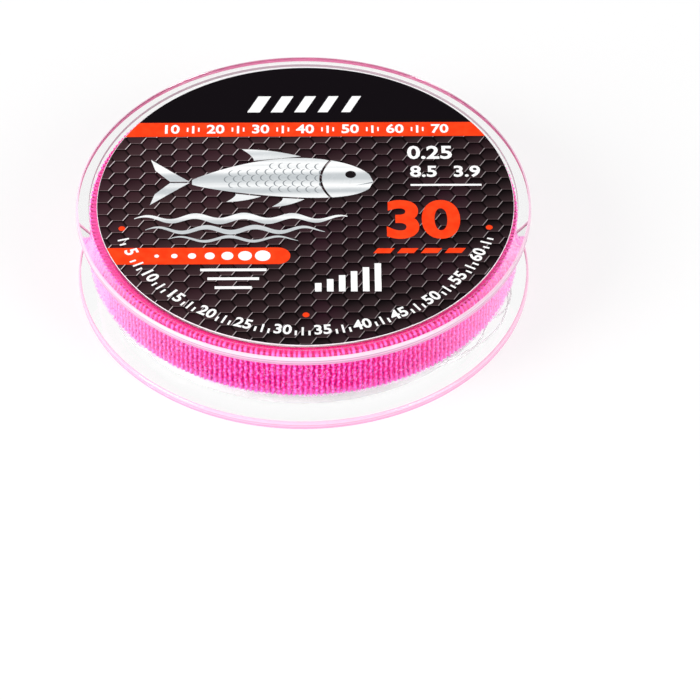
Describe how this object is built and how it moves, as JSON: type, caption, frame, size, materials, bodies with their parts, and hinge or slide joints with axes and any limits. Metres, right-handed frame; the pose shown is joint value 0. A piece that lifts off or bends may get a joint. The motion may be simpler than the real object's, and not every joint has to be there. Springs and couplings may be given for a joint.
{
  "type": "fishing line spool",
  "caption": "Clear flanged leader-line spool: two snap-fitted halves, printed label in the front face, level-wound line and a knitted elastic keeper band.",
  "frame": {"origin": "centre of the rear face, which the spool lies on", "axes": "+Z along the spool's axis towards the label, +Y towards the top of the label"},
  "size_m": [0.06, 0.06, 0.0126],
  "materials": {
    "clear_plastic": "crystal-clear polished polystyrene",
    "printed_film": "satin printed film",
    "line": "translucent colourless monofilament",
    "band_knit": "ribbed elastic knit",
    "elastic_thread": "bare elastic thread"
  },
  "bodies": {
    "spool": {"front_half": "clear_plastic", "rear_half": "clear_plastic", "front_label": "printed_film", "line_winding": "line"},
    "band": {"elastic_band": "band_knit", "elastic_threads": "elastic_thread"}
  },
  "joints": [
    {"name": "band_turn", "type": "hinge", "parent": "spool", "child": "band", "pos_m": [0, 0, 0.00785], "axis": [0, 0, 1], "continuous": true}
  ]
}
